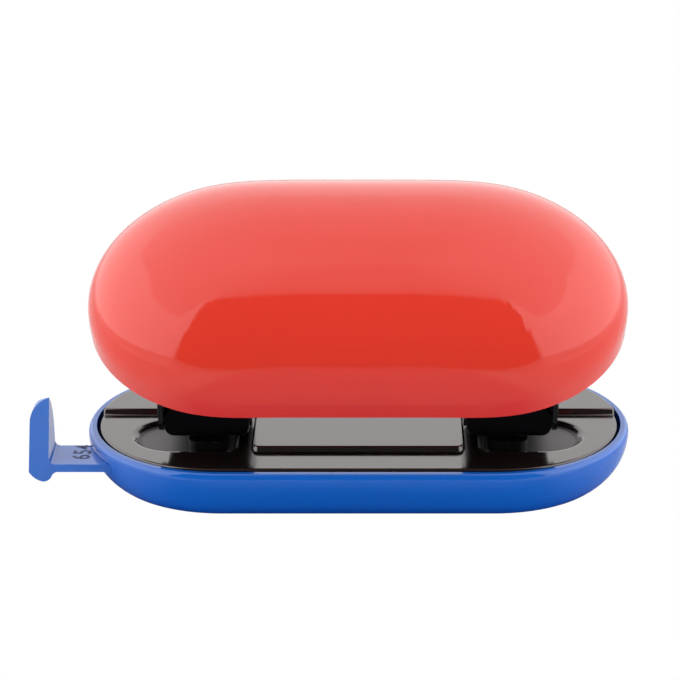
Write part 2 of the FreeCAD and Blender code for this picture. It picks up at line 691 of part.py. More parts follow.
def make_bracket(name, side):
    """A folded steel punch head: a channel over the paper slot, joggled down to a riveted foot."""
    head = new_body(name)
    width = "2 * head_half_width"
    channel = new_sketch(head, "channel_profile", "YZ_Plane")
    draw(channel, [
        ("head_nose", "slot_ceiling + lip_rise"),
        ("head_nose + lip_run", "slot_ceiling"),
        ("stop_place", "slot_ceiling"),
        ("stop_place", "head_top"),
        ("stop_place - bridge_front", "head_top"),
        ("head_nose + head_sheet", "nose_top + head_sheet"),
        ("head_nose", "nose_top"),
    ])
    pad(head, "channel", channel, width, both_ways=True)
    side_face = value("head_half_width")
    rounded(head, "bends", "head_round", lambda edge: (
        close_to(abs(edge.BoundBox.XMin), side_face)
        and close_to(edge.BoundBox.XMin, edge.BoundBox.XMax)
        and edge.BoundBox.YLength > 1.0))
    hollow = new_sketch(head, "hollow_profile", "YZ_Plane")
    beyond = "stop_place + head_sheet"
    over = "head_top + head_sheet"
    inside = "head_nose + head_sheet"
    guide_front = "stop_place - bridge_front + head_sheet"
    draw(hollow, [
        (inside, "web_top + lip_rise"),
        (f"{inside} + lip_run / 2", "web_top"),
        (beyond, "web_top"),
        (beyond, "bridge_under"),
        (guide_front, "bridge_under"),
        (guide_front, over),
        (inside, over),
    ])
    pocket(head, "hollow", hollow, "2 * (head_half_width - head_sheet)", both_ways=True)

    foot = new_sketch(head, "foot_profile", "YZ_Plane")
    draw(foot, [
        ("stop_place", "table_level"),
        ("stop_place + foot_length", "table_level"),
        ("stop_place + foot_length", "table_level + head_sheet"),
        ("stop_place + head_sheet", "table_level + head_sheet"),
        ("stop_place + head_sheet", "web_top - head_sheet / 3"),
        ("stop_place", "web_top"),
        ("stop_place - head_sheet", "web_top"),
        ("stop_place - head_sheet", "slot_ceiling"),
        ("stop_place", "slot_ceiling"),
    ])
    pad(head, "foot", foot, "2 * (head_half_width - head_sheet)", both_ways=True)
    heel = value("stop_place + foot_length")
    rounded(head, "heel_corners", "die_corner", lambda edge: (
        runs_along(edge, 2) and close_to(edge.BoundBox.YMin, heel)))

    bores = new_sketch(head, "pin_bores", "XY_Plane")
    draw_circle(bores, "0", "hole_depth", "pin_radius + pin_play")
    pocket(head, "pin_ways", bores, both_ways=True)
    cross = new_sketch(head, "pivot_bores", "YZ_Plane")
    draw_circle(cross, "pivot_depth", "pivot_height", "pivot_radius + pivot_play")
    pocket(head, "pivot_ways", cross, both_ways=True)
    rivets = new_sketch(head, "rivet_holes", "XY_Plane")
    for other in ("-", ""):
        draw_circle(rivets, f"{other}rivet_offset", "stop_place + rivet_place", "rivet_radius + rivet_play")
    pocket(head, "rivet_ways", rivets, both_ways=True)
    place(head, x=f"{side} * hole_side")
    return head


def make_pin(name, side):
    """A punch pin with a hollow-ground point and a groove for its clip."""
    pin = new_body(name)
    profile = new_sketch(pin, "profile", "XZ_Plane")
    groove = "pin_radius - groove_depth"
    chamfer = "groove_depth"
    draw(profile, [
        ("0", "pin_bottom"),
        ("pin_radius", "pin_bottom"),
        ("pin_radius", "clip_under - groove_play"),
        (groove, "clip_under - groove_play"),
        (groove, "clip_under + clip_thick + groove_play"),
        ("pin_radius", "clip_under + clip_thick + groove_play"),
        ("pin_radius", f"pin_top - {chamfer}"),
        (f"pin_radius - {chamfer}", "pin_top"),
        ("0", "pin_top"),
    ])
    turned(pin, "shank", profile)
    point = new_sketch(pin, "point_hollow", "YZ_Plane")
    draw_circle(point, "0", "pin_bottom + pin_hollow_depth - pin_hollow", "pin_hollow")
    pocket(pin, "hollow_point", point, both_ways=True)
    place(pin, x=f"{side} * hole_side", y="hole_depth")
    return pin


def make_clip(name, bore):
    """A flat retaining clip with an open mouth, lying on the origin plane."""
    clip = new_body(name)
    ring = new_sketch(clip, "ring_outline", "XY_Plane")
    draw_circle(ring, "0", "0", "clip_radius")
    draw_circle(ring, "0", "0", bore)
    pad(clip, "ring", ring, "clip_thick")
    mouth = new_sketch(clip, "mouth_outline", "XY_Plane")
    draw(mouth, rectangle("-clip_mouth / 2", "clip_mouth / 2", "0", "2 * clip_radius"))
    pocket(clip, "mouth", mouth, "clip_thick", backwards=True)
    return clip


def make_pivot(name, side):
    """The headed pin that a lever arm turns on, through both walls of a punch head."""
    pivot = new_body(name)
    profile = new_sketch(pivot, "profile", "XZ_Plane")
    head_at = "arm_outside + pivot_slack - hole_side"
    clip_at = "head_half_width + pivot_slack"
    groove = "pivot_radius - groove_depth / 2"
    draw(profile, [
        ("0", f"-({clip_at}) - 2 * clip_thick"),
        ("pivot_radius", f"-({clip_at}) - 2 * clip_thick"),
        ("pivot_radius", f"-({clip_at}) - clip_thick - groove_play"),
        (groove, f"-({clip_at}) - clip_thick - groove_play"),
        (groove, f"-({clip_at}) + groove_play"),
        ("pivot_radius", f"-({clip_at}) + groove_play"),
        ("pivot_radius", head_at),
        ("pivot_head", head_at),
        ("pivot_head", f"{head_at} + pivot_head_thick / 2"),
        ("pivot_head - pivot_head_thick / 2", f"{head_at} + pivot_head_thick"),
        ("0", f"{head_at} + pivot_head_thick"),
    ])
    turned(pivot, "shank", profile)
    outwards = FreeCAD.Rotation(FreeCAD.Vector(0, 1, 0), 90 * side)
    pivot.Placement = FreeCAD.Placement(FreeCAD.Vector(0, 0, 0), outwards)
    place(pivot, x=f"{side} * hole_side", y="pivot_depth", z="pivot_height")
    return pivot


def make_lever():
    """The steel lever across both heads, in its own upright frame with the pivot at the origin."""
    lever = new_body("lever_yoke")
    web = new_sketch(lever, "web_profile", "YZ_Plane")
    draw(web, [
        ("lever_front", "lever_top - front_lip"),
        ("lever_front + lever_sheet", "lever_top - front_lip"),
        ("lever_front + lever_sheet", "lever_rise"),
        ("lever_back - lever_sheet", "lever_rise"),
        ("lever_back - lever_sheet", "lever_top - back_lip"),
        ("lever_back", "lever_top - back_lip"),
        ("lever_back", "lever_top"),
        ("lever_front", "lever_top"),
    ])
    pad(lever, "web", web, "2 * arm_outside", both_ways=True)
    back, top = value("lever_back"), value("lever_top")
    rounded(lever, "back_bend", "lever_sheet / 2", lambda edge: (
        runs_along(edge, 0) and close_to(edge.BoundBox.YMin, back) and flat_at(edge, top)))

    arm = new_sketch(lever, "arm_outline", "YZ_Plane", lift="arm_inside")
    draw(arm, [
        ("0", "-arm_radius", "arm_radius"),
        ("arm_radius", "0", "arm_radius"),
        ("arm_back", "lever_top"),
        ("lever_front", "lever_top"),
        ("-arm_radius", "0"),
    ])
    one_arm = pad(lever, "arm", arm, "lever_sheet")
    rib = new_sketch(lever, "rib_outline", "YZ_Plane", lift="hole_side - rib_length / 2")
    draw(rib, [
        ("rib_place - rib_radius", "lever_rise"),
        ("rib_place", "lever_rise - rib_radius", "rib_radius"),
        ("rib_place + rib_radius", "lever_rise", "rib_radius"),
        ("rib_place + rib_radius", "lever_rise + lever_sheet / 2"),
        ("rib_place - rib_radius", "lever_rise + lever_sheet / 2"),
    ])
    one_rib = pad(lever, "press_rib", rib, "rib_length")
    mirrored(lever, "other_arm_and_rib", [one_arm, one_rib])

    bore = new_sketch(lever, "pivot_bore", "YZ_Plane")
    draw_circle(bore, "0", "0", "pivot_radius + pivot_play")
    pocket(lever, "pivot_ways", bore, both_ways=True)
    screws = new_sketch(lever, "screw_holes", "XY_Plane")
    for other in ("-", ""):
        draw_circle(screws, f"{other}screw_spacing / 2", "screw_place", "screw_radius + screw_play")
    pocket(lever, "screw_ways", screws, both_ways=True)
    place(lever, y="pivot_depth", z="pivot_height")
    tilt_at_rest(lever)
    return lever


def share_past(x, start, run):
    """How far along a run a place lies, from 0 at its start to exactly 1 at its end."""
    return min(1.0, round(max(0.0, abs(x) - start) / run, EXACT_DIGITS))


def side_curve(inset_by):
    """Half breadth and ridge height of the cover along its length, as a curve in (x, breadth, height)."""
    radius = value("cover_radius") - inset_by
    half = value("cover_straight")
    height = value("dome_height") - inset_by
    ridge = value("ridge_half")
    reach = half + radius
    ridge_reach = reach - ridge
    angles = []
    spots = []
    for number in range(-CURVE_STEPS, CURVE_STEPS + 1):
        angle = math.pi / 2 * number / CURVE_STEPS
        x = reach * math.sin(angle)
        past_side = share_past(x, half, radius)
        past_ridge = share_past(x, ridge, ridge_reach)
        breadth = radius * math.sqrt(1 - past_side ** 2)
        angles.append(angle)
        spots.append(FreeCAD.Vector(x, breadth, height * math.sqrt(1 - past_ridge ** 2)))
    opening = FreeCAD.Vector(0, math.sqrt(radius * reach), height * math.sqrt(reach / ridge_reach))
    curve = Part.BSplineCurve()
    curve.interpolate(
        Points=spots, Parameters=angles, InitialTangent=opening, FinalTangent=opening * -1, Scale=False)
    return curve


def surface(rows, curve, weights, knots, mults):
    """A face from rows of poles that run along the curve and across it with the given weights."""
    made = Part.BSplineSurface()
    made.buildFromPolesMultsKnots(
        rows, curve.getMultiplicities(), mults, curve.getKnots(), knots, False, False, curve.Degree, 2,
        [weights for row in rows])
    return made.toShape()


def outward(curve, number):
    """The plan direction that points out of the cover beside one pole of its side curve."""
    knots = curve.KnotSequence
    here = sum(knots[number + 1:number + 4]) / 3
    along = curve.tangent(here)[0]
    return FreeCAD.Vector(-along.y, along.x, 0).normalize()


def skin(inset_by):
    """The cover's dome and its two flanks, as faces, with the edges of its rim."""
    curve = side_curve(inset_by)
    level = value("cover_flank")
    poles = curve.getPoles()
    bend = math.sqrt(0.5)
    arch = [[
        FreeCAD.Vector(pole.x, -pole.y, level), FreeCAD.Vector(pole.x, -pole.y, level + pole.z),
        FreeCAD.Vector(pole.x, 0, level + pole.z), FreeCAD.Vector(pole.x, pole.y, level + pole.z),
        FreeCAD.Vector(pole.x, pole.y, level)] for pole in poles]
    faces = [surface(arch, curve, [1, bend, 1, bend, 1], [0, 1, 2], [3, 2, 3])]
    inset = value("cover_inset")
    curl = (level * level + inset * inset) / (2 * inset)
    turn = math.asin(level / curl)
    corner = level - curl * math.tan(turn / 2)
    rim_edges = []
    for side in (-1, 1):
        flank = []
        for number, pole in enumerate(poles):
            away = outward(curve, number)
            flank.append([
                FreeCAD.Vector(pole.x, side * pole.y, level),
                FreeCAD.Vector(pole.x, side * pole.y, corner),
                FreeCAD.Vector(pole.x - away.x * inset, side * (pole.y - away.y * inset), 0),
            ])
        faces.append(surface(flank, curve, [1, math.cos(turn / 2), 1], [0, 1], [3, 3]))
        rim_edges += [edge for edge in faces[-1].Edges if flat_at(edge, 0.0)]
    return faces, Part.Wire(Part.__sortEdges__(rim_edges))


def sewn(faces):
    """One solid from faces that close on each other."""
    closed = Part.makeShell(faces)
    closed.sewShape()
    solid = Part.makeSolid(Part.Shell(closed.Faces))
    if solid.Volume < 0:
        solid.reverse()
    return solid


def cover_form(inset_by):
    """The cover as a full solid, inset all over."""
    faces, rim = skin(inset_by)
    return sewn(faces + [Part.Face(rim)])


def hollow_cover():
    """The cover's wall: its outer skin, its inner skin and the flat rim that joins them."""
    outer_faces, outer_rim = skin(0.0)
    inner_faces, inner_rim = skin(value("cover_wall"))
    rim_land = Part.Face(outer_rim).cut(Part.Face(inner_rim)).Faces
    return sewn(outer_faces + inner_faces + rim_land)


def make_cover():
    """The moulded handle cover, in its own upright frame with its rim at the origin plane."""
    cover_solid = hollow_cover()
    within = cover_form(value("cover_wall") / 2)
    bottom, top = value("boss_bottom"), value("cover_flank + dome_height")
    brace = value("brace_thick")
    start = value("brace_start")
    deep = value("cover_radius")
    for sign in (-1, 1):
        middle = FreeCAD.Vector(sign * value("screw_spacing") / 2, value("boss_place"), bottom)
        boss = Part.makeCylinder(value("boss_radius"), top - bottom, middle)
        corner = FreeCAD.Vector(middle.x - brace / 2, -deep, start)
        boss = boss.fuse(Part.makeBox(brace, 2 * deep, top - start, corner))
        bore = Part.makeCylinder(value("screw_radius + screw_bite"), value("screw_length"), middle)
        cover_solid = cover_solid.fuse(boss.common(within)).cut(bore)
    cover = doc.addObject("Part::Feature", "cover_shell")
    cover.Label = "cover_shell"
    cover.Shape = cover_solid.removeSplitter()
    place(cover, y="cover_depth", z="cover_height")
    tilt_at_rest(cover)
    return cover


def helix_path(radius, height, turns):
    """A rising coil of tangent arcs, four stretches to a turn."""
    count = int(round(turns * 4))
    slope = height / (turns * 2 * math.pi * radius)

    def spot(number):
        angle = number * math.pi / 2
        return FreeCAD.Vector(radius * math.cos(angle), radius * math.sin(angle), height * number / count)

    def heading(number):
        angle = number * math.pi / 2
        return FreeCAD.Vector(-math.sin(angle), math.cos(angle), slope).normalize()

    edges = []
    for number in range(count):
        edges += joined_arcs(spot(number), heading(number), spot(number + 1), heading(number + 1))
    return Part.Wire(edges)


def joined_arcs(start, leaving, end, arriving):
    """Two arcs that meet smoothly, from one point and direction to another."""
    gap = end.sub(start)
    both = leaving + arriving
    turn = 2 * (1 - leaving.dot(arriving))
    along = gap.dot(both)
    reach = (math.sqrt(along ** 2 + turn * gap.dot(gap)) - along) / turn
    before = start + leaving * reach
    after = end - arriving * reach
    meeting = (before + after) * 0.5
    arcs = []
    across = after.sub(before).normalize()
    for begin, direction, finish in ((start, leaving, meeting), (meeting, across, end)):
        chord = finish.sub(begin)
        sideways = chord - direction * chord.dot(direction)
        bow = sideways.normalize()
        radius = chord.dot(chord) / (2 * chord.dot(bow))
        centre = begin + bow * radius
        middle = centre + (begin + chord * 0.5).sub(centre).normalize() * radius
        arcs.append(Part.Arc(begin, middle, finish).toShape())
    return arcs


def least_gap(path, wire):
    """The narrowest gap of a coil to itself, measured on points half a turn apart or more."""
    edges = path.OrderedEdges
    steps = 12
    spots = []
    for edge in edges:
        span = edge.LastParameter - edge.FirstParameter
        spots += [edge.valueAt(edge.FirstParameter + span * step / steps) for step in range(steps)]
    half_turn = 4 * steps
    gaps = [
        one.distanceToPoint(other)
        for number, one in enumerate(spots) for other in spots[number + half_turn:]]
    return min(gaps) - 2 * wire


def make_spring(name, side):
    """A return spring round a pin, between the lower guide and the pin's clip."""
    wire = value("spring_wire") / 2
    radius = value("spring_radius")
    low = value("web_top + spring_play") + wire
    high = value("clip_under - spring_play") - wire
    path = helix_path(radius, high - low, value("spring_turns"))
    first = path.OrderedEdges[0]
    start = first.valueAt(first.FirstParameter)
    heading = first.tangentAt(first.FirstParameter)
    ring = Part.Wire([Part.makeCircle(wire, start, heading)])
    coil = path.makePipeShell([ring], True, False)
    print(f"{name}: least gap to itself {least_gap(path, wire):.2f} mm")
    spring = doc.addObject("Part::Feature", name)
    spring.Label = name
    spring.Shape = coil
    place(spring, x=f"{side} * hole_side", y="hole_depth", z="web_top + spring_play + spring_wire / 2")
    return spring


def make_rivet_form():
    """One rivet, standing on the top of a punch head's foot."""
    rivet = new_body("rivet_form")
    profile = new_sketch(rivet, "profile", "XZ_Plane")
    under = "-head_sheet - sheet"
    draw(profile, [
        ("0", f"{under} - rivet_dome / 2"),
        ("rivet_head - rivet_dome / 2", f"{under} - rivet_dome / 2"),
        ("rivet_head - rivet_dome / 2", under),
        ("rivet_radius", under),
        ("rivet_radius", "0"),
        ("rivet_head", "0"),
        ("0", "rivet_dome", "(rivet_head * rivet_head + rivet_dome * rivet_dome) / (2 * rivet_dome)"),
    ])
    turned(rivet, "shank", profile)
    return rivet


def make_screw_form():
    """One cover screw, with its head under the lever's web and its shank upwards."""
    screw = new_body("screw_form")
    profile = new_sketch(screw, "profile", "XZ_Plane")
    draw(profile, [
        ("0", "-screw_head_thick"),
        ("screw_head - screw_head_thick / 2", "-screw_head_thick"),
        ("screw_head", "-screw_head_thick / 2"),
        ("screw_head", "0"),
        ("screw_radius", "0"),
        ("screw_radius", "screw_length - screw_radius"),
        ("0", "screw_length"),
    ])
    turned(screw, "shank", profile)
    cross = new_sketch(screw, "cross_slot", "XY_Plane", lift="-screw_head_thick")
    arm, bar = "screw_head * 0.55", "screw_head * 0.13"
    draw(cross, [
        (f"-({arm})", f"-({bar})"), (f"-({bar})", f"-({bar})"), (f"-({bar})", f"-({arm})"),
        (bar, f"-({arm})"), (bar, f"-({bar})"), (arm, f"-({bar})"),
        (arm, bar), (bar, bar), (bar, arm), (f"-({bar})", arm), (f"-({bar})", bar), (f"-({arm})", bar),
    ])
    pocket(screw, "cross", cross, "screw_head_thick * 0.6", backwards=True)
    return screw


def make_group(name, form, spots):
    """Copies of one fastener as a single node of separate solids."""
    copies = []
    for spot in spots:
        copy = form.Shape.copy()
        copy.translate(FreeCAD.Vector(*[value(text) for text in spot]))
        copies.append(copy)
    group = doc.addObject("Part::Feature", name)
    group.Label = name
    group.Shape = Part.makeCompound(copies)
    return group


def make_clips():
    """The clips on the pins and on the pivot pins."""
    made = []
    for word, side in SIDES:
        pin_clip = make_clip(f"{word}_spring_clip", "pin_radius - groove_depth + groove_play")
        place(pin_clip, x=f"{side} * hole_side", y="hole_depth", z="clip_under")
        pivot_clip = make_clip(f"{word}_pivot_clip", "pivot_radius - groove_depth / 2 + groove_play")
        outwards = FreeCAD.Rotation(FreeCAD.Vector(0, 1, 0), 90 * side)
        pivot_clip.Placement = FreeCAD.Placement(FreeCAD.Vector(0, 0, 0), outwards)
        inner = f"{side} * (hole_side - head_half_width - pivot_slack - clip_thick)"
        place(pivot_clip, x=inner, y="pivot_depth", z="pivot_height")
        made += [pin_clip, pivot_clip]
    return made


SIDES = (("left", -1), ("right", 1))
nodes = [make_tray(), make_guide(), make_plate()]
for word, side in SIDES:
    nodes.append(make_die(f"{word}_die", side))
    nodes.append(make_bracket(f"{word}_bracket", side))
    nodes.append(make_pin(f"{word}_punch_pin", side))
    nodes.append(make_spring(f"{word}_spring", side))
    nodes.append(make_pivot(f"{word}_pivot_pin", side))
nodes += make_clips()
nodes += [make_lever(), make_cover()]

rivet_spots = [
    (f"{side} * hole_side + {other} * rivet_offset", "stop_place + rivet_place", "table_level + head_sheet")
    for word, side in SIDES for other in (-1, 1)]
nodes.append(make_group("bracket_rivets", make_rivet_form(), rivet_spots))
screw_spots = [(f"{side} * screw_spacing / 2", "screw_place", "lever_rise") for word, side in SIDES]
screws = make_group("cover_screws", make_screw_form(), screw_spots)
place(screws, y="pivot_depth", z="pivot_height")
tilt_at_rest(screws)
nodes.append(screws)

doc.recompute()
for thing in doc.Objects:
    if "Invalid" in thing.State or "Error" in thing.State:
        raise RuntimeError(f"{thing.Name} failed: {thing.State}")
os.makedirs("parts", exist_ok=True)
for node in nodes:
    if node.Shape.isNull() or not node.Shape.isValid():
        raise RuntimeError(f"{node.Label} has no valid shape")
    node.Shape.exportStep(f"parts/{node.Label}.step")
    box = node.Shape.BoundBox
    print(f"{node.Label}: {len(node.Shape.Solids)} solid(s), {node.Shape.Volume:.1f} mm3, "
          f"x {box.XMin:.2f} to {box.XMax:.2f}, y {box.YMin:.2f} to {box.YMax:.2f}, "
          f"z {box.ZMin:.2f} to {box.ZMax:.2f}")
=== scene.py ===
import json
import math

import bpy
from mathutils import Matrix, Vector


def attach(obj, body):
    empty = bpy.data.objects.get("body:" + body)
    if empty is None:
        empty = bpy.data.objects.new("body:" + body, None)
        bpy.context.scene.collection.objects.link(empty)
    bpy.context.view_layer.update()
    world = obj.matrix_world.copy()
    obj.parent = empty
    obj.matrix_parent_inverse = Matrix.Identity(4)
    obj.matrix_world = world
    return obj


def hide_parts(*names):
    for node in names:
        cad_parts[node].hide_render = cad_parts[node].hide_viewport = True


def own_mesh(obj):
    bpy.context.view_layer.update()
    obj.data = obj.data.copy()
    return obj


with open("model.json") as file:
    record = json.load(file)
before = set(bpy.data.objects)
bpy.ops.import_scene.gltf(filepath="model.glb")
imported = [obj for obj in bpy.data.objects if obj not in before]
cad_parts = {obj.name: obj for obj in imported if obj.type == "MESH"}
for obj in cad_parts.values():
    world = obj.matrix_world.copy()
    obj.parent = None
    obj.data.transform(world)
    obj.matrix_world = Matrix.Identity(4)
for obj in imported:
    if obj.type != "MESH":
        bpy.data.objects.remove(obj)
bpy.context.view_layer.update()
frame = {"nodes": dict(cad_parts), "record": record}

MM = 0.001
WHITE = (1.0, 1.0, 1.0, 1.0)


# The camera

CAMERA_PLACE = (0.00666, -0.58882, 0.25835)
CAMERA_TILT = 69.387
CAMERA_LENS = 122.89
CAMERA_SHIFT = -0.0633
NEAR_LIMIT = 0.01
FAR_LIMIT = 20.0


def make_camera():
    """The camera of the photograph: level, a little above the punch, in front of it."""
    lens = bpy.data.cameras.new("camera")
    lens.lens = CAMERA_LENS
    lens.shift_x = CAMERA_SHIFT
    lens.clip_start = NEAR_LIMIT
    lens.clip_end = FAR_LIMIT
    camera = bpy.data.objects.new("camera", lens)
    camera.location = CAMERA_PLACE
    camera.rotation_euler = (math.radians(CAMERA_TILT), 0.0, 0.0)
    bpy.context.scene.collection.objects.link(camera)
    bpy.context.scene.camera = camera


# Shader nodes, as the studio and the finishes place them

def add(tree, kind, settings=None, values=None):
    """A node with its settings and the plain values of its sockets."""
    node = tree.nodes.new(kind)
    for name, setting in (settings or {}).items():
        setattr(node, name, setting)
    for name, amount in (values or {}).items():
        node.inputs[name].default_value = amount
    return node


def axes_of(tree, vector):
    """The X, Y and Z of a vector socket."""
    parts = add(tree, "ShaderNodeSeparateXYZ")
    tree.links.new(vector, parts.inputs["Vector"])
    return parts.outputs


def mask_between(tree, value, span, top=1.0, interpolation="SMOOTHSTEP"):
    """0 where a value is at the start of a span, and top where it is at its end."""
    mask = add(tree, "ShaderNodeMapRange", {"interpolation_type": interpolation},
               {"From Min": span[0], "From Max": span[1], "To Max": top})
    tree.links.new(value, mask.inputs["Value"])
    return mask.outputs["Result"]


def combined(tree, operation, first, second):
    """What an operation, such as MULTIPLY, makes of two number sockets."""
    both = add(tree, "ShaderNodeMath", {"operation": operation})
    tree.links.new(first, both.inputs[0])
    tree.links.new(second, both.inputs[1])
    return both.outputs["Value"]


def number_between(tree, start, end, mask):
    """One number turning into another where a mask says; each is a socket or a plain number."""
    mix = add(tree, "ShaderNodeMix", {"data_type": "FLOAT"})
    for name, amount in (("A", start), ("B", end)):
        if isinstance(amount, float):
            mix.inputs[name].default_value = amount
        else:
            tree.links.new(amount, mix.inputs[name])
    tree.links.new(mask, mix.inputs["Factor"])
    return mix.outputs["Result"]


def colour_over(tree, under, over, mask):
    """One colour laid over another where a mask says; each is a socket or a plain colour."""
    mix = add(tree, "ShaderNodeMix", {"data_type": "RGBA"})
    for name, colour in (("A", under), ("B", over)):
        if isinstance(colour, tuple):
            mix.inputs[name].default_value = colour
        else:
            tree.links.new(colour, mix.inputs[name])
    tree.links.new(mask, mix.inputs["Factor"])
    return mix.outputs["Result"]


# The studio: a tent of light with a dark front, over white paper. Angles are in degrees; azimuth 0 is
# towards the camera and 180 behind the punch. A course is a span and the two values at its ends.

TENT_RADIUS = 1.5
TENT_STEP = 1.5
TENT_BLUR = 0.8
TENT_FOOT = -3.0
ZENITH = 90.0
ROOM_GLOW = 0.06

OVERHEAD_GLOW = 1.12
OVERHEAD_BEHIND = 0.17
OVERHEAD_BESIDE = 0.30
OVERHEAD_LOW_BESIDE = ((44.0, 66.0), (0.22, 0.0))

BOX_GLOW = 1.45
BOX_HUMP = 0.95
HUMP_START = 28.0
HUMP_PACE = 1.45
BOX_FOOT = ((44.0, 125.0), (12.0, 3.0))
BOX_TOP_AHEAD = ((54.0, 58.0), (61.0, 46.0))
BOX_TOP_BEHIND = ((105.0, 140.0), (0.0, -10.0))
SWEEP_GLOW = 1.05
SWEEP_BEHIND = 0.35

DARK_SIDE = 45.0
DARK_EDGE = ((40.0, 60.0), (DARK_SIDE, 51.0))
FRONT_TOP = 68.0
FRONT_TOP_FALL = 8.0
FALL_TURN = 57.0
FRONT_TOP_SOFT = 9.0
FRONT_TOP_GLOW = 0.7
FRONT_FOOT = 1.0
FRONT_FOOT_RISE = 10.0
FRONT_FOOT_GLOW = 0.5


def blend_between(low, high, amount):
    """0 below low, 1 above high, and a smooth rise between them."""
    share = min(1.0, max(0.0, (amount - low) / (high - low)))
    return share * share * (3.0 - 2.0 * share)


def course_at(course, amount):
    """A value that goes smoothly from one to another while the amount crosses a span."""
    span, values = course
    return values[0] + (values[1] - values[0]) * blend_between(span[0], span[1], amount)


def past_edge(edge, amount):
    """0 before an edge in the tent and 1 past it, a little blurred."""
    return blend_between(edge - TENT_BLUR, edge + TENT_BLUR, amount)


def tent_sides(turn, elevation, behind, overhead):
    """Brightness beside and behind the punch: the sweep, the side boxes and the cloth over them."""
    hump = max(0.0, math.sin(math.radians((turn - HUMP_START) * HUMP_PACE)))
    box = BOX_GLOW + BOX_HUMP * hump
    box_top = course_at(BOX_TOP_AHEAD, turn) + course_at(BOX_TOP_BEHIND, turn)
    glow = SWEEP_GLOW + SWEEP_BEHIND * behind
    glow += (box - glow) * past_edge(course_at(BOX_FOOT, turn), elevation)
    return glow + (overhead - glow) * past_edge(box_top, elevation)


def tent_front(turn, elevation, sideways, overhead):
    """Brightness before the punch: dark but for the cloth overhead and the floor's low glow."""
    top = FRONT_TOP - FRONT_TOP_FALL * (turn / FALL_TURN) ** 2
    foot = FRONT_FOOT + FRONT_FOOT_RISE * (turn / DARK_SIDE) ** 2
    soft = FRONT_TOP_GLOW + (1.0 - FRONT_TOP_GLOW) * blend_between(top, top + FRONT_TOP_SOFT, elevation)
    low = FRONT_FOOT_GLOW + (1.0 - FRONT_FOOT_GLOW) * sideways
    return overhead * soft * past_edge(top, elevation) + low * (1.0 - past_edge(foot, elevation))


def tent_glow(azimuth, elevation):
    """Brightness of the tent as the punch mirrors it."""
    turn = abs(azimuth)
    sideways = math.sin(math.radians(turn)) ** 2
    behind = (1.0 - math.cos(math.radians(turn))) / 2.0
    overhead = OVERHEAD_GLOW + OVERHEAD_BEHIND * behind
    overhead += (OVERHEAD_BESIDE + course_at(OVERHEAD_LOW_BESIDE, elevation)) * sideways
    front = tent_front(turn, elevation, sideways, overhead)
    sides = tent_sides(turn, elevation, behind, overhead)
    return front + (sides - front) * past_edge(course_at(DARK_EDGE, elevation), turn)


OVERHEAD_EDGE = 60.0
FRONT_EDGE = 30.0
LOW_EDGE = 15.0
SIDE_TOP = 45.0
SIDE_END = 90.0
SHOULDER_END = 135.0
MATT_OVERHEAD = 1.5
MATT_FRONT = 0.35
MATT_SIDE = 2.0
MATT_LOW = 4.0
MATT_SHOULDER = 1.45
MATT_BACK = 0.6
MATT_UPPER = 0.67


def matt_glow(azimuth, elevation):
    """Brightness of the tent for matt light: strong from overhead and from both sides."""
    if elevation > OVERHEAD_EDGE:
        return MATT_OVERHEAD
    turn = abs(azimuth)
    if turn < DARK_SIDE:
        return MATT_FRONT if elevation > FRONT_EDGE else 0.0
    glow = MATT_BACK
    if turn < SIDE_END:
        glow = MATT_SIDE if elevation > LOW_EDGE else MATT_LOW
    elif turn < SHOULDER_END:
        glow = MATT_SHOULDER
    return glow * (MATT_UPPER if elevation > SIDE_TOP else 1.0)


def light(name, strength):
    """A plain white glowing material."""
    material = bpy.data.materials.new(name)
    material.use_nodes = True
    tree = material.node_tree
    tree.nodes.clear()
    glow = add(tree, "ShaderNodeEmission", None, {"Color": WHITE, "Strength": strength})
    out = add(tree, "ShaderNodeOutputMaterial")
    tree.links.new(glow.outputs["Emission"], out.inputs["Surface"])
    return material


def tent_fabric():
    """White cloth that glows as brightly as the tent's own values say."""
    material = light("tent_fabric", 1.0)
    tree = material.node_tree
    brightness = add(tree, "ShaderNodeAttribute", {"attribute_name": "brightness"})
    tree.links.new(brightness.outputs["Fac"], tree.nodes["Emission"].inputs["Strength"])
    return material


def dome(name, brightness):
    """A dome of glowing cloth round the punch, without its dark faces."""
    columns = int(360.0 / TENT_STEP)
    height = ZENITH - TENT_FOOT
    rows = int(round(height / TENT_STEP)) + 1
    points = []
    glow = []
    for row in range(rows):
        elevation = TENT_FOOT + height * row / (rows - 1)
        rise = math.radians(elevation)
        for column in range(columns):
            azimuth = column * TENT_STEP - 180.0
            turn = math.radians(azimuth)
            points.append((
                TENT_RADIUS * math.cos(rise) * math.sin(turn),
                -TENT_RADIUS * math.cos(rise) * math.cos(turn),
                TENT_RADIUS * math.sin(rise),
            ))
            glow.append(brightness(azimuth, elevation))
    faces = []
    for row in range(rows - 1):
        for column in range(columns):
            following = (column + 1) % columns
            face = (row * columns + column, row * columns + following,
                    (row + 1) * columns + following, (row + 1) * columns + column)
            if max(glow[corner] for corner in face) > ROOM_GLOW:
                faces.append(face)
    mesh = bpy.data.meshes.new(name)
    mesh.from_pydata(points, [], faces)
    values = mesh.attributes.new("brightness", "FLOAT", "POINT")
    values.data.foreach_set("value", glow)
    mesh.materials.append(tent_fabric())
    shell = bpy.data.objects.new(name, mesh)
    bpy.context.scene.collection.objects.link(shell)
    shell.visible_camera = False
    shell.visible_shadow = False
    return shell


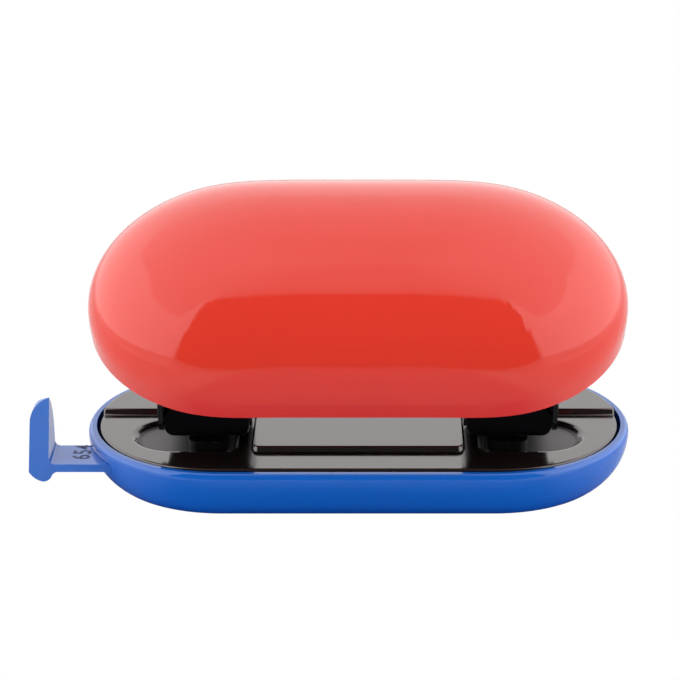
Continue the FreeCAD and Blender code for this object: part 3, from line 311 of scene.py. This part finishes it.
FLOOR_REACH = 4.0
FLOOR_LEVEL = -0.2 * MM
PAPER_REACH = 1.5
PAPER_LEVEL = -0.15 * MM
MIRRORED_LEVEL = -0.1 * MM
PAPER_WHITE = (0.80, 0.80, 0.80, 1.0)
PAPER_ROUGHNESS = 0.9
# A painted shadow on the paper before the tray, tinted blue by painted bounce light from the tray
TRAY_PAINTED_SHADOW = (0.04, 0.06, 0.35, 1.0)
SHADE_AHEAD = (-42 * MM, -64 * MM)
SHADE_BEHIND = (-30 * MM, 5 * MM)
SHADE_BESIDE = (45 * MM, 90 * MM)
LIGHTEST_AHEAD = 0.5


def sheet(name, reach, level, material):
    """A square sheet of the studio floor."""
    corners = [(-reach, -reach, level), (reach, -reach, level), (reach, reach, level), (-reach, reach, level)]
    mesh = bpy.data.meshes.new(name)
    mesh.from_pydata(corners, [], [(0, 1, 2, 3)])
    mesh.materials.append(material)
    flat = bpy.data.objects.new(name, mesh)
    bpy.context.scene.collection.objects.link(flat)
    return flat


def plain_paper(name):
    """Matt white paper."""
    material = bpy.data.materials.new(name)
    material.use_nodes = True
    paper = material.node_tree.nodes["Principled BSDF"]
    paper.inputs["Base Color"].default_value = PAPER_WHITE
    paper.inputs["Roughness"].default_value = PAPER_ROUGHNESS
    paper.inputs["Specular IOR Level"].default_value = 0.0
    return material


def shadow_painted_paper():
    """The same paper with a painted blue shadow of the tray before it, which only mirror images show."""
    material = plain_paper("shadow_painted_paper")
    tree = material.node_tree
    place = axes_of(tree, add(tree, "ShaderNodeTexCoord").outputs["Object"])
    sideways = add(tree, "ShaderNodeMath", {"operation": "ABSOLUTE"})
    tree.links.new(place["X"], sideways.inputs[0])
    unshadowed = mask_between(tree, place["Y"], SHADE_AHEAD, LIGHTEST_AHEAD)
    unshadowed = combined(tree, "MAXIMUM", unshadowed, mask_between(tree, place["Y"], SHADE_BEHIND))
    unshadowed = combined(tree, "MAXIMUM", unshadowed, mask_between(tree, sideways.outputs["Value"], SHADE_BESIDE))
    # painted shadow: the paper is blue-black just before the tray, half lifted farther ahead, and plain white
    # behind and beside it
    colour = colour_over(tree, TRAY_PAINTED_SHADOW, PAPER_WHITE, unshadowed)
    tree.links.new(colour, tree.nodes["Principled BSDF"].inputs["Base Color"])
    return material


def make_room():
    """A world that is white for the camera and nearly dark for everything else."""
    room = bpy.data.worlds.new("room")
    room.use_nodes = True
    tree = room.node_tree
    tree.nodes.clear()
    ray = add(tree, "ShaderNodeLightPath")
    seen = add(tree, "ShaderNodeBackground", None, {"Color": WHITE})
    dim = add(tree, "ShaderNodeBackground", None, {"Color": WHITE, "Strength": ROOM_GLOW})
    mix = add(tree, "ShaderNodeMixShader")
    out = add(tree, "ShaderNodeOutputWorld")
    tree.links.new(ray.outputs["Is Camera Ray"], mix.inputs["Fac"])
    tree.links.new(dim.outputs["Background"], mix.inputs[1])
    tree.links.new(seen.outputs["Background"], mix.inputs[2])
    tree.links.new(mix.outputs["Shader"], out.inputs["Surface"])
    bpy.context.scene.world = room


def make_studio():
    """The white room, and the tent and papers that light the punch and show in its gloss."""
    make_room()
    floor = sheet("floor", FLOOR_REACH, FLOOR_LEVEL, light("floor_white", 1.0))
    floor.visible_glossy = False
    floor.visible_diffuse = False
    paper = sheet("paper", PAPER_REACH, PAPER_LEVEL, plain_paper("white_paper"))
    paper.visible_camera = False
    paper.visible_glossy = False
    mirrored = sheet("mirrored_paper", PAPER_REACH, MIRRORED_LEVEL, shadow_painted_paper())
    mirrored.visible_camera = False
    mirrored.visible_diffuse = False
    mirrored.visible_shadow = False
    dome("mirrored_tent", tent_glow).visible_diffuse = False
    dome("matt_tent", matt_glow).visible_glossy = False
    bpy.context.scene.view_settings.view_transform = "Standard"


# Effects that several finishes share

SMEARED = (0.45, 0.75)
CORNER = (0.995, 0.93)
RUBBED_PATCH = (0.42, 0.68)
LOOKING_UP = (0.6, 1.0)
SPECKLED = (0.45, 0.8)


def new_group(name, inputs, outputs):
    """An empty effect group, with what it is given and what it has to put out."""
    group = bpy.data.node_groups.new(name, "ShaderNodeTree")
    for label, start in inputs:
        socket = group.interface.new_socket(name=label, in_out="INPUT", socket_type="NodeSocketFloat")
        socket.default_value = start
    for label in outputs:
        group.interface.new_socket(name=label, in_out="OUTPUT", socket_type="NodeSocketFloat")
    given = group.nodes.new("NodeGroupInput").outputs
    wanted = group.nodes.new("NodeGroupOutput").inputs
    return group, given, wanted


def noise_of_size(tree, size_socket, **values):
    """A noise whose grains have the size that a socket gives, in metres."""
    place = add(tree, "ShaderNodeTexCoord")
    scale = add(tree, "ShaderNodeMath", {"operation": "DIVIDE"}, {0: 1.0})
    tree.links.new(size_socket, scale.inputs[1])
    noise = add(tree, "ShaderNodeTexNoise", None, values)
    tree.links.new(place.outputs["Object"], noise.inputs["Vector"])
    tree.links.new(scale.outputs["Value"], noise.inputs["Scale"])
    return noise.outputs["Fac"]


def moulded_skin():
    """Fine grain and slow waviness of a moulded or sprayed surface, as a height in metres."""
    group, given, wanted = new_group("moulded_skin", [
        ("Grain Size", 0.4 * MM),
        ("Grain Height", 0.002 * MM),
        ("Wave Size", 20 * MM),
        ("Wave Height", 0.01 * MM),
    ], ["Height"])
    grain = noise_of_size(group, given["Grain Size"], Detail=3.0)
    wave = noise_of_size(group, given["Wave Size"], Detail=1.0)
    height = combined(group, "ADD", combined(group, "MULTIPLY", grain, given["Grain Height"]),
                      combined(group, "MULTIPLY", wave, given["Wave Height"]))
    group.links.new(height, wanted["Height"])
    return group


def handled_gloss():
    """Faint smears of handling that dull a glossy surface, as its roughness."""
    group, given, wanted = new_group("handled_gloss", [
        ("Clean Roughness", 0.05),
        ("Smear Roughness", 0.12),
        ("Smear Size", 30 * MM),
    ], ["Roughness"])
    noise = noise_of_size(group, given["Smear Size"], Detail=5.0, Roughness=0.6, Distortion=0.4)
    smear = mask_between(group, noise, SMEARED)
    rough = number_between(group, given["Clean Roughness"], given["Smear Roughness"], smear)
    group.links.new(rough, wanted["Roughness"])
    return group


def rubbed_edges():
    """Corners that handling has rubbed, in patches, as a mask."""
    group, given, wanted = new_group("rubbed_edges", [
        ("Edge Width", 0.3 * MM),
        ("Patch Size", 4 * MM),
        ("Amount", 0.5),
    ], ["Mask"])
    eased = add(group, "ShaderNodeBevel", {"samples": 4})
    group.links.new(given["Edge Width"], eased.inputs["Radius"])
    true = add(group, "ShaderNodeNewGeometry")
    along = add(group, "ShaderNodeVectorMath", {"operation": "DOT_PRODUCT"})
    group.links.new(eased.outputs["Normal"], along.inputs[0])
    group.links.new(true.outputs["Normal"], along.inputs[1])
    corner = mask_between(group, along.outputs["Value"], CORNER)
    noise = noise_of_size(group, given["Patch Size"], Detail=4.0, Roughness=0.7)
    rubbed = combined(group, "MULTIPLY", corner, mask_between(group, noise, RUBBED_PATCH))
    group.links.new(combined(group, "MULTIPLY", rubbed, given["Amount"]), wanted["Mask"])
    return group


def settled_dust():
    """A thin uneven film of dust on the faces that look up, as a mask."""
    group, given, wanted = new_group("settled_dust", [
        ("Speck Size", 0.5 * MM),
        ("Amount", 0.05),
    ], ["Mask"])
    facing = axes_of(group, add(group, "ShaderNodeNewGeometry").outputs["Normal"])
    level = mask_between(group, facing["Z"], LOOKING_UP, interpolation="LINEAR")
    noise = noise_of_size(group, given["Speck Size"], Detail=6.0, Roughness=0.75)
    specks = combined(group, "MULTIPLY", level, mask_between(group, noise, SPECKLED))
    group.links.new(combined(group, "MULTIPLY", specks, given["Amount"]), wanted["Mask"])
    return group


SKIN = moulded_skin()
GLOSS = handled_gloss()
EDGES = rubbed_edges()
DUST = settled_dust()
DUST_COLOUR = (0.42, 0.40, 0.38, 1.0)


def place_group(tree, group, names, values):
    """The outputs of an effect group that is placed in a material with that material's values."""
    node = add(tree, "ShaderNodeGroup", {"node_tree": group})
    for name, amount in zip(names, values):
        node.inputs[name].default_value = amount
    return node.outputs


def grey(amount, warmth=0.0):
    """A grey, with a little more red and less blue where warmth is above 0."""
    return (amount * (1.0 + warmth), amount, amount * (1.0 - warmth), 1.0)


class Finish:
    """A Principled material with the shared effects placed in it."""

    def __init__(self, name, smears, skin, edge, dust):
        """smears: two roughnesses and a size; skin: sizes and heights; edge: width, patch, amount."""
        self.material = bpy.data.materials.new(name)
        self.material.use_nodes = True
        self.tree = self.material.node_tree
        self.shader = self.tree.nodes["Principled BSDF"]
        smear_names = ("Clean Roughness", "Smear Roughness", "Smear Size")
        self.gloss = place_group(self.tree, GLOSS, smear_names, smears)
        skin_names = ("Grain Size", "Grain Height", "Wave Size", "Wave Height")
        skin = place_group(self.tree, SKIN, skin_names, skin)
        self.edge = place_group(self.tree, EDGES, ("Edge Width", "Patch Size", "Amount"), edge)
        self.dust = place_group(self.tree, DUST, ("Speck Size", "Amount"), dust)
        self.tree.links.new(self.gloss["Roughness"], self.shader.inputs["Roughness"])
        bump = add(self.tree, "ShaderNodeBump", None, {"Strength": 1.0, "Distance": 1.0})
        self.tree.links.new(skin["Height"], bump.inputs["Height"])
        self.tree.links.new(bump.outputs["Normal"], self.shader.inputs["Normal"])

    def paint(self, colour, worn):
        """The base colour with its rubbed edges and dust."""
        colour = colour_over(self.tree, colour, worn, self.edge["Mask"])
        colour = colour_over(self.tree, colour, DUST_COLOUR, self.dust["Mask"])
        self.tree.links.new(colour, self.shader.inputs["Base Color"])

    def cloud(self, size, colour, deep):
        """A colour that drifts a little over the surface."""
        noise = add(self.tree, "ShaderNodeTexNoise", None, {"Scale": 1.0 / size, "Detail": 3.0})
        place = add(self.tree, "ShaderNodeTexCoord")
        self.tree.links.new(place.outputs["Object"], noise.inputs["Vector"])
        return colour_over(self.tree, colour, deep, noise.outputs["Fac"])

    def dull(self, mask, roughness):
        """A roughness of its own where a mask says."""
        rough = number_between(self.tree, self.gloss["Roughness"], roughness, mask)
        self.tree.links.new(rough, self.shader.inputs["Roughness"])


# The finishes

TRAY_BLUE = (0.005, 0.128, 0.580, 1.0)
TRAY_DEEP = (0.005, 0.119, 0.550, 1.0)
GUIDE_BLUE = (0.006, 0.145, 0.620, 1.0)
GUIDE_DEEP = (0.006, 0.136, 0.590, 1.0)
BLUE_RUBBED = (0.10, 0.22, 0.62, 1.0)
TRAY_IOR = 1.6
GUIDE_IOR = 1.7


def blue_plastic(name, colour, deep, ior):
    """The moulded blue of tray and guide."""
    finish = Finish(name, smears=(0.09, 0.15, 35 * MM), skin=(0.6 * MM, 0.0012 * MM, 25 * MM, 0.010 * MM),
                    edge=(0.25 * MM, 5 * MM, 0.35), dust=(0.6 * MM, 0.05))
    finish.shader.inputs["IOR"].default_value = ior
    finish.paint(finish.cloud(18 * MM, colour, deep), BLUE_RUBBED)
    return finish.material


COVER_RED = (0.755, 0.0430, 0.0245, 1.0)
COVER_DEEP = (0.730, 0.0405, 0.0225, 1.0)
COVER_RUBBED = (0.84, 0.10, 0.07, 1.0)
# Painted shade: the dark red that the cover's inner faces are given
COVER_INSIDE_PAINTED_SHADE = (0.16, 0.010, 0.006, 1.0)
INSIDE_ROUGHNESS = 0.45
COVER_HEART = (0.0, -0.0015, 0.046)
FACING_HEART = (0.02, -0.12)


def inside_of_cover(tree):
    """A mask of the cover's inner faces: they look towards its heart."""
    place = add(tree, "ShaderNodeTexCoord")
    outwards = add(tree, "ShaderNodeVectorMath", {"operation": "SUBTRACT"}, {1: COVER_HEART})
    tree.links.new(place.outputs["Object"], outwards.inputs[0])
    unit = add(tree, "ShaderNodeVectorMath", {"operation": "NORMALIZE"})
    tree.links.new(outwards.outputs["Vector"], unit.inputs[0])
    facing = add(tree, "ShaderNodeVectorMath", {"operation": "DOT_PRODUCT"})
    tree.links.new(unit.outputs["Vector"], facing.inputs[0])
    tree.links.new(place.outputs["Normal"], facing.inputs[1])
    return mask_between(tree, facing.outputs["Value"], FACING_HEART, interpolation="LINEAR")


def red_plastic():
    """The polished red of the cover, plain outside; on its inside duller, and darkened by painted shade."""
    finish = Finish("cover_plastic", smears=(0.045, 0.075, 40 * MM),
                    skin=(0.8 * MM, 0.0006 * MM, 35 * MM, 0.010 * MM),
                    edge=(0.2 * MM, 6 * MM, 0.30), dust=(0.5 * MM, 0.02))
    outside = finish.cloud(22 * MM, COVER_RED, COVER_DEEP)
    inner = inside_of_cover(finish.tree)
    # painted shade: the cover's inner faces are darkened towards black
    finish.paint(colour_over(finish.tree, outside, COVER_INSIDE_PAINTED_SHADE, inner), COVER_RUBBED)
    finish.dull(inner, INSIDE_ROUGHNESS)
    return finish.material


PLATE_BLACK = (0.010, 0.006, 0.006, 1.0)
PLATE_DEEP = (0.014, 0.010, 0.009, 1.0)
PLATE_RUBBED = 0.10
PLATE_IOR = 1.95
PLATE_TINT = (1.0, 0.91, 0.91, 1.0)
POCKET_BLACK = (0.010, 0.012, 0.016, 1.0)
POCKET_ROUGHNESS = 0.50
POCKET_HEIGHTS = (12.5 * MM, 12.0 * MM)


def pressed_pocket(tree):
    """A mask of the floors of the two pockets pressed in the plate."""
    place = axes_of(tree, add(tree, "ShaderNodeTexCoord").outputs["Object"])
    return mask_between(tree, place["Z"], POCKET_HEIGHTS)


def plate_enamel():
    """Stoved black enamel on the pressed plate, glossy on top and satin in the pockets."""
    finish = Finish("plate_enamel", smears=(0.11, 0.16, 20 * MM),
                    skin=(0.5 * MM, 0.0010 * MM, 14 * MM, 0.006 * MM),
                    edge=(0.2 * MM, 3 * MM, 0.25), dust=(0.4 * MM, 0.02))
    finish.shader.inputs["IOR"].default_value = PLATE_IOR
    finish.shader.inputs["Specular Tint"].default_value = PLATE_TINT
    pocket = pressed_pocket(finish.tree)
    black = finish.cloud(15 * MM, PLATE_BLACK, PLATE_DEEP)
    finish.paint(colour_over(finish.tree, black, POCKET_BLACK, pocket), grey(PLATE_RUBBED))
    finish.dull(pocket, POCKET_ROUGHNESS)
    return finish.material


BARE_STEEL = grey(0.16, 0.05)
DEEPER_TONE = 1.7
DEEPER_WARMTH = 0.08


def black_enamel(name, tone, smears, level):
    """Satin black on a steel pressing, with bare steel where its edges are rubbed."""
    finish = Finish(name, smears=smears, skin=(0.4 * MM, 0.0015 * MM, 10 * MM, 0.005 * MM),
                    edge=(0.2 * MM, 2.5 * MM, 0.35), dust=(0.4 * MM, 0.02))
    finish.shader.inputs["Specular IOR Level"].default_value = level
    finish.paint(finish.cloud(8 * MM, grey(tone), grey(tone * DEEPER_TONE, DEEPER_WARMTH)), BARE_STEEL)
    return finish.material


RUBBED_GAIN = 1.3
BRIGHTEST_STEEL = 0.85


def ground_steel(name, bright, dull, smears, warmth):
    """Bare or plated steel: fine ground skin, clouded brightness and brighter rubbed edges."""
    finish = Finish(name, smears=smears, skin=(0.15 * MM, 0.0020 * MM, 4 * MM, 0.002 * MM),
                    edge=(0.15 * MM, 1.5 * MM, 0.8), dust=(0.3 * MM, 0.03))
    finish.shader.inputs["Metallic"].default_value = 1.0
    rubbed = grey(min(BRIGHTEST_STEEL, bright * RUBBED_GAIN))
    finish.paint(finish.cloud(3 * MM, grey(bright, warmth), grey(dull, warmth)), rubbed)
    return finish.material


INK_BLUE = (0.006, 0.022, 0.115, 1.0)
INK_PALE = (0.010, 0.034, 0.165, 1.0)
INK_RUBBED = (0.05, 0.12, 0.40, 1.0)
INK_GLOSS = 0.1


def mark_ink():
    """The dark numbers on the guide, a little uneven."""
    finish = Finish("mark_ink", smears=(0.30, 0.45, 3 * MM), skin=(0.2 * MM, 0.0020 * MM, 2 * MM, 0.002 * MM),
                    edge=(0.05 * MM, 1 * MM, 0.4), dust=(0.3 * MM, 0.03))
    finish.shader.inputs["Specular IOR Level"].default_value = INK_GLOSS
    finish.paint(finish.cloud(1.2 * MM, INK_BLUE, INK_PALE), INK_RUBBED)
    return finish.material


FINISHES = {
    "tray_plastic": blue_plastic("tray_plastic", TRAY_BLUE, TRAY_DEEP, TRAY_IOR),
    "guide_plastic": blue_plastic("guide_plastic", GUIDE_BLUE, GUIDE_DEEP, GUIDE_IOR),
    "cover_plastic": red_plastic(),
    "plate_enamel": plate_enamel(),
    "head_enamel": black_enamel("head_enamel", 0.0015, (0.14, 0.24, 12 * MM), level=0.04),
    "lever_enamel": black_enamel("lever_enamel", 0.004, (0.22, 0.32, 12 * MM), level=0.20),
    "pivot_black": black_enamel("pivot_black", 0.006, (0.26, 0.36, 5 * MM), level=0.20),
    "tool_steel": ground_steel("tool_steel", 0.60, 0.48, (0.18, 0.30, 6 * MM), warmth=0.01),
    "spring_steel": ground_steel("spring_steel", 0.52, 0.38, (0.24, 0.38, 5 * MM), warmth=0.02),
    "plated_steel": ground_steel("plated_steel", 0.66, 0.55, (0.20, 0.32, 6 * MM), warmth=0.0),
}
DIE_BLACK = black_enamel("die_black", 0.005, (0.20, 0.32, 5 * MM), level=0.25)
MARK_INK = mark_ink()


def finish_nodes():
    """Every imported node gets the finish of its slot; the two dies are blacked steel."""
    for part in frame["record"]["subparts"]:
        node = frame["nodes"][part["node"]]
        node.data.materials.clear()
        node.data.materials.append(FINISHES[part["material_slot"]])
    frame["nodes"]["paper_guide"].visible_glossy = False
    for die in ("left_die", "right_die"):
        frame["nodes"][die].data.materials[0] = DIE_BLACK


# The return springs, which the punches press together as they go down; each coil is drawn at one length

SPRING_PLACE = {"left_spring": -40 * MM, "right_spring": 40 * MM}
SPRING_DEPTH = -6.5 * MM
SPRING_FOOT = 18.26 * MM
SPRING_TOP = 28.94 * MM
SPRING_RADIUS = 4.5 * MM
WIRE = 0.45 * MM
SPRING_TURNS = 5.5
CLOSED_TURNS = 0.75
CLOSED_PITCH = 0.98 * MM
STEPS_PER_TURN = 40
WIRE_SIDES = 12


def coil_height(turn):
    """Height of the wire's middle after so many turns: closed at both ends, open between them."""
    reach = SPRING_TOP - SPRING_FOOT - 2 * WIRE
    closed = CLOSED_TURNS * CLOSED_PITCH
    if turn < CLOSED_TURNS:
        return turn * CLOSED_PITCH
    if turn > SPRING_TURNS - CLOSED_TURNS:
        return reach - (SPRING_TURNS - turn) * CLOSED_PITCH
    share = (turn - CLOSED_TURNS) / (SPRING_TURNS - 2 * CLOSED_TURNS)
    return closed + share * (reach - 2 * closed)


def coil_line(middle, steps):
    """The line of the wire's middle, from the foot up."""
    line = []
    for step in range(steps + 1):
        turn = SPRING_TURNS * step / steps
        angle = turn * 2 * math.pi
        line.append(Vector((
            middle + SPRING_RADIUS * math.cos(angle),
            SPRING_DEPTH + SPRING_RADIUS * math.sin(angle),
            SPRING_FOOT + WIRE + coil_height(turn),
        )))
    return line


def make_spring(name, middle):
    """A coil of round wire, swept along its own rising line, with capped ends."""
    steps = int(SPRING_TURNS * STEPS_PER_TURN)
    line = coil_line(middle, steps)
    points = []
    for step, spot in enumerate(line):
        ahead = line[min(step + 1, steps)] - line[max(step - 1, 0)]
        outwards = Vector((spot.x - middle, spot.y - SPRING_DEPTH, 0.0)).normalized()
        upwards = outwards.cross(ahead).normalized()
        for side in range(WIRE_SIDES):
            angle = 2 * math.pi * side / WIRE_SIDES
            points.append(spot + (outwards * math.cos(angle) + upwards * math.sin(angle)) * WIRE)
    faces = []
    for step in range(steps):
        base = step * WIRE_SIDES
        above = base + WIRE_SIDES
        for side in range(WIRE_SIDES):
            following = (side + 1) % WIRE_SIDES
            faces.append((base + side, base + following, above + following, above + side))
    faces.append(tuple(reversed(range(WIRE_SIDES))))
    faces.append(tuple(range(steps * WIRE_SIDES, (steps + 1) * WIRE_SIDES)))
    mesh = bpy.data.meshes.new(name + "_coil")
    mesh.from_pydata(points, [], faces)
    mesh.polygons.foreach_set("use_smooth", [len(face) == 4 for face in faces])
    mesh.materials.append(FINISHES["spring_steel"])
    spring = bpy.data.objects.new(name + "_coil", mesh)
    bpy.context.scene.collection.objects.link(spring)
    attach(spring, "frame")
    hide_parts(name)
    side = name.split("_")[0]
    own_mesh(spring)


# The plain numbers on the guide's strip, one for each sheet size

NUMBERS = ("4", "5", "6")
NUMBER_HEIGHT = 4.7 * MM
NUMBER_SPACING = 3.3 * MM
NUMBER_BOLD = 0.10 * MM
NUMBER_NARROWING = 0.9
NUMBERS_MIDDLE = (-74.0 * MM, -14.3 * MM)
STRIP_TOP = 10.0 * MM
MARK_DEPTH = 0.02 * MM
CAP_SHARE = 0.7


def make_numbers():
    """Three numbers across the strip, read from the guide's stop."""
    for place, number in enumerate(NUMBERS):
        text = bpy.data.curves.new("guide_number_" + number, "FONT")
        text.body = number
        text.size = NUMBER_HEIGHT / CAP_SHARE
        text.align_x = "CENTER"
        text.align_y = "CENTER"
        text.extrude = MARK_DEPTH / 2
        text.offset = NUMBER_BOLD
        shape = bpy.data.objects.new("number_shape", text)
        mesh = bpy.data.meshes.new_from_object(shape)
        bpy.data.objects.remove(shape)
        bpy.data.curves.remove(text)
        across = NUMBERS_MIDDLE[1] - (place - 1) * NUMBER_SPACING
        for vertex in mesh.vertices:
            along, up, depth = vertex.co
            vertex.co = (NUMBERS_MIDDLE[0] - up, across + along * NUMBER_NARROWING,
                         STRIP_TOP + depth + MARK_DEPTH / 2)
        mesh.materials.append(MARK_INK)
        piece = bpy.data.objects.new("guide_number_" + number, mesh)
        bpy.context.scene.collection.objects.link(piece)
        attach(piece, "guide")


make_camera()
make_studio()
finish_nodes()
for spring_name, spring_middle in SPRING_PLACE.items():
    make_spring(spring_name, spring_middle)
make_numbers()
